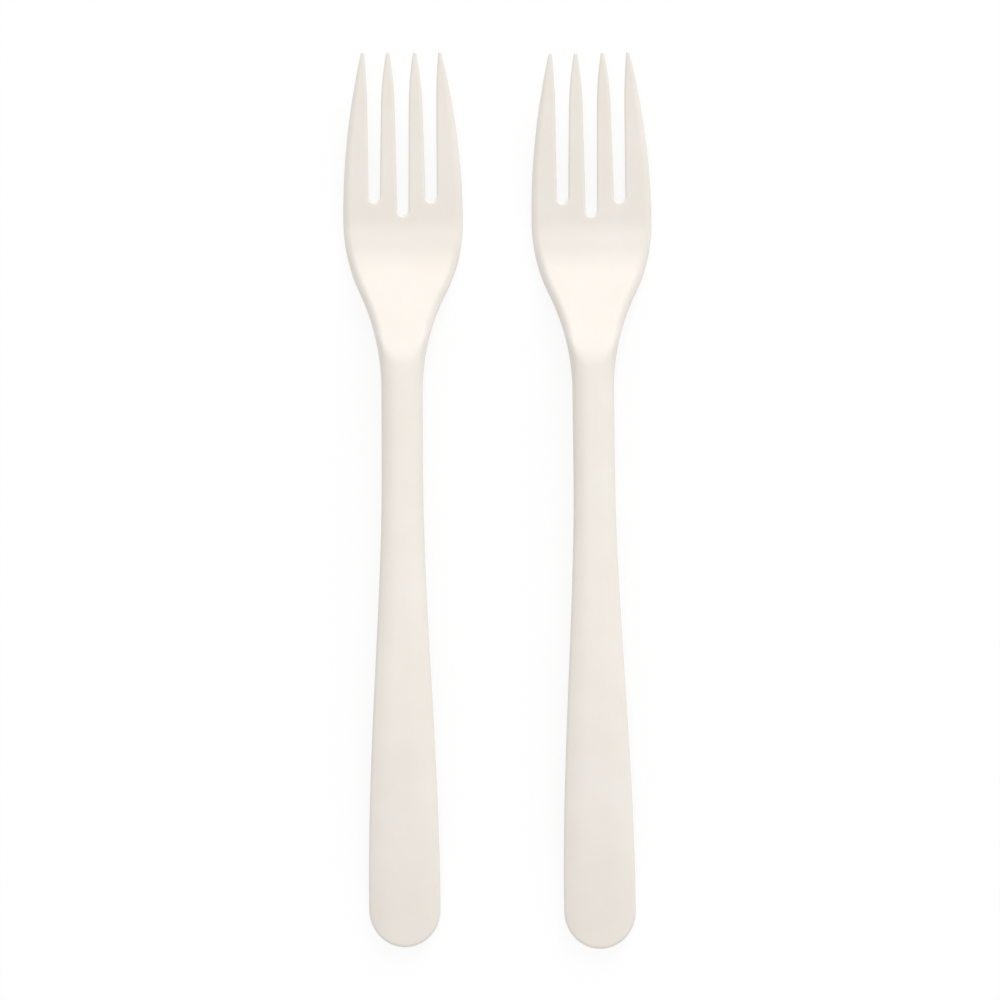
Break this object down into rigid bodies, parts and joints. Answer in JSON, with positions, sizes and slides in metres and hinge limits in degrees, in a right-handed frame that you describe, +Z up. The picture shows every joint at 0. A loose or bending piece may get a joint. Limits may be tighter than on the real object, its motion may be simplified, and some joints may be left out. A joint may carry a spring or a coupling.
{
  "type": "plastic cutlery pack",
  "caption": "Plain moulded plastic forks with domed handles, stepped-down necks and slotted heads, lying face up side by side.",
  "frame": {"origin": "on the table, at the middle of the pair", "axes": "+X from the left fork to the right one, +Y from the handles to the tines, +Z up"},
  "size_m": [0.0638, 0.1852, 0.0093],
  "materials": {
    "cream_plastic": "satin"
  },
  "bodies": {
    "root": {"left_handle": "cream_plastic", "left_head": "cream_plastic", "right_handle": "cream_plastic", "right_head": "cream_plastic"}
  },
  "joints": []
}
